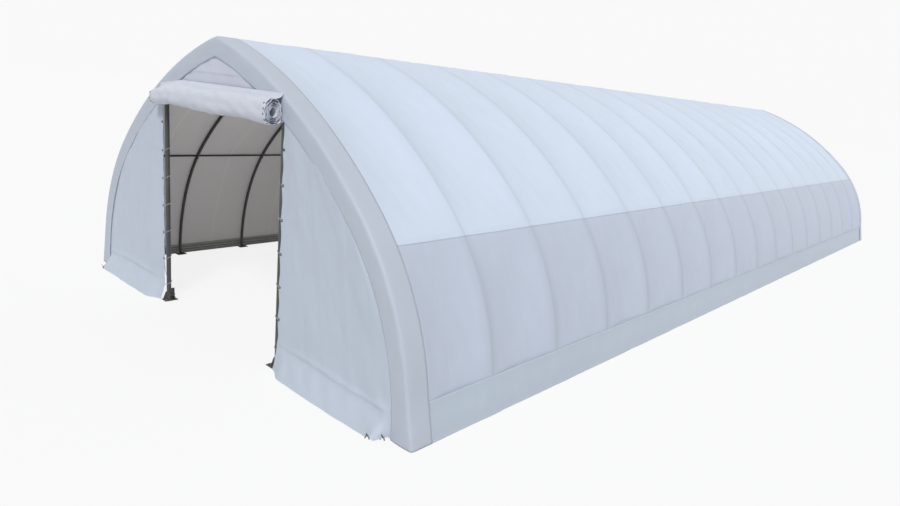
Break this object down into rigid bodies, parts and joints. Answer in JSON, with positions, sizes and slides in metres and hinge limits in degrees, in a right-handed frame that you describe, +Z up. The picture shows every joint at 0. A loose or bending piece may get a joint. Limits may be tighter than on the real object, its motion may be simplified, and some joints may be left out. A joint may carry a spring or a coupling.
{
  "type": "fabric storage shelter",
  "caption": "Gothic-arch storage shelter of steel tube arches under a white fabric cover, with a rolled-up door in each end.",
  "frame": {"origin": "ground level at the middle of the floor", "axes": "+X to the right seen from the front, +Y along the ridge from the front end to the rear, +Z up"},
  "size_m": [9.324, 24.9844, 4.572],
  "materials": {
    "black_steel": "black painted tube, semi-gloss",
    "dark_steel": "dark grey-green painted steel, worn satin",
    "cover_fabric": "white coated woven polyester, satin outside and mid grey inside",
    "end_fabric": "white coated woven polyester, satin"
  },
  "bodies": {
    "root": {"arch_01": "black_steel", "arch_02": "black_steel", "arch_03": "black_steel", "arch_04": "black_steel", "arch_05": "black_steel", "arch_06": "black_steel", "arch_07": "black_steel", "arch_08": "black_steel", "arch_09": "black_steel", "arch_10": "black_steel", "arch_11": "black_steel", "arch_12": "black_steel", "arch_13": "black_steel", "arch_14": "black_steel", "arch_15": "black_steel", "arch_16": "black_steel", "arch_17": "black_steel", "ridge_purlin": "black_steel", "purlin_left": "black_steel", "purlin_right": "black_steel", "strap_ratchets": "black_steel", "base_rail_left": "dark_steel", "base_rail_right": "dark_steel", "front_post_left": "dark_steel", "front_post_right": "dark_steel", "rear_post_left": "dark_steel", "rear_post_right": "dark_steel", "front_header": "dark_steel", "rear_header": "dark_steel", "roof_cover_left": "cover_fabric", "roof_cover_right": "cover_fabric", "wall_cover_left": "cover_fabric", "wall_cover_right": "cover_fabric", "skirt_left": "cover_fabric", "skirt_right": "cover_fabric", "front_valance": "end_fabric", "rear_valance": "end_fabric", "front_gable_panel": "end_fabric", "rear_gable_panel": "end_fabric", "front_panel_left": "end_fabric", "front_panel_right": "end_fabric", "rear_panel_left": "end_fabric", "rear_panel_right": "end_fabric", "front_door_roll": "end_fabric", "rear_door_roll": "end_fabric"}
  },
  "joints": []
}
